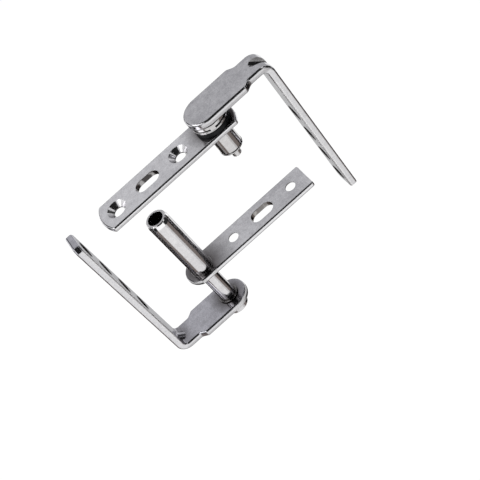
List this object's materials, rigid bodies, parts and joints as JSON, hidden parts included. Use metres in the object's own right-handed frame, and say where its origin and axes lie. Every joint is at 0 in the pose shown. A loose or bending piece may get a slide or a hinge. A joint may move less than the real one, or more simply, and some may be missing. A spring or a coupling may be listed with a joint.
{
  "type": "double action cafe hinge",
  "caption": "Double action pivot hinge for swinging cafe doors: folded steel jamb brackets, door plates with screw holes and slots, a bushed carrier pin and a sliding guide tube.",
  "frame": {"origin": "where the carrier's pin axis crosses the face of its door plate that lies on the door", "axes": "+Z along both pins, from the guide's arm to the carrier's arm; +X towards the carrier's jamb; the XZ plane is the plane of symmetry of all but the pair of bearing teeth, which stand 12 degrees round"},
  "size_m": [0.127, 0.02, 0.1131],
  "materials": {
    "bracket_steel": "satin stainless, fine grain along the strip",
    "plate_steel": "satin stainless with bright cut edges",
    "turned_steel": "turned and polished stainless",
    "black_nylon": "plain moulded"
  },
  "bodies": {
    "jamb_side": {"carrier_jamb_bracket": "bracket_steel", "carrier_bearing_disc": "turned_steel", "carrier_keyed_washer": "turned_steel", "carrier_pivot_pin": "turned_steel", "carrier_end_washer": "turned_steel", "guide_jamb_bracket": "bracket_steel"},
    "carrier_leaf": {"carrier_door_plate": "plate_steel", "carrier_bush": "turned_steel", "carrier_nylon_washer": "black_nylon"},
    "guide_pin": {"guide_pivot_pin": "turned_steel", "guide_pin_collar": "turned_steel"},
    "guide_leaf": {"guide_door_plate": "plate_steel", "guide_tube": "turned_steel"}
  },
  "joints": [
    {"name": "carrier_swing", "type": "hinge", "parent": "jamb_side", "child": "carrier_leaf", "pos_m": [0, 0, 0], "axis": [0, 0, 1], "range_deg": [-110, 110]},
    {"name": "guide_swing", "type": "hinge", "parent": "jamb_side", "child": "guide_pin", "pos_m": [-0.051, 0, -0.0611], "axis": [0, 0, 1], "range_deg": [-110, 110]},
    {"name": "guide_slide", "type": "slide", "parent": "guide_pin", "child": "guide_leaf", "axis": [0, 0, 1], "range_m": [-0.0235, 0.012]}
  ]
}
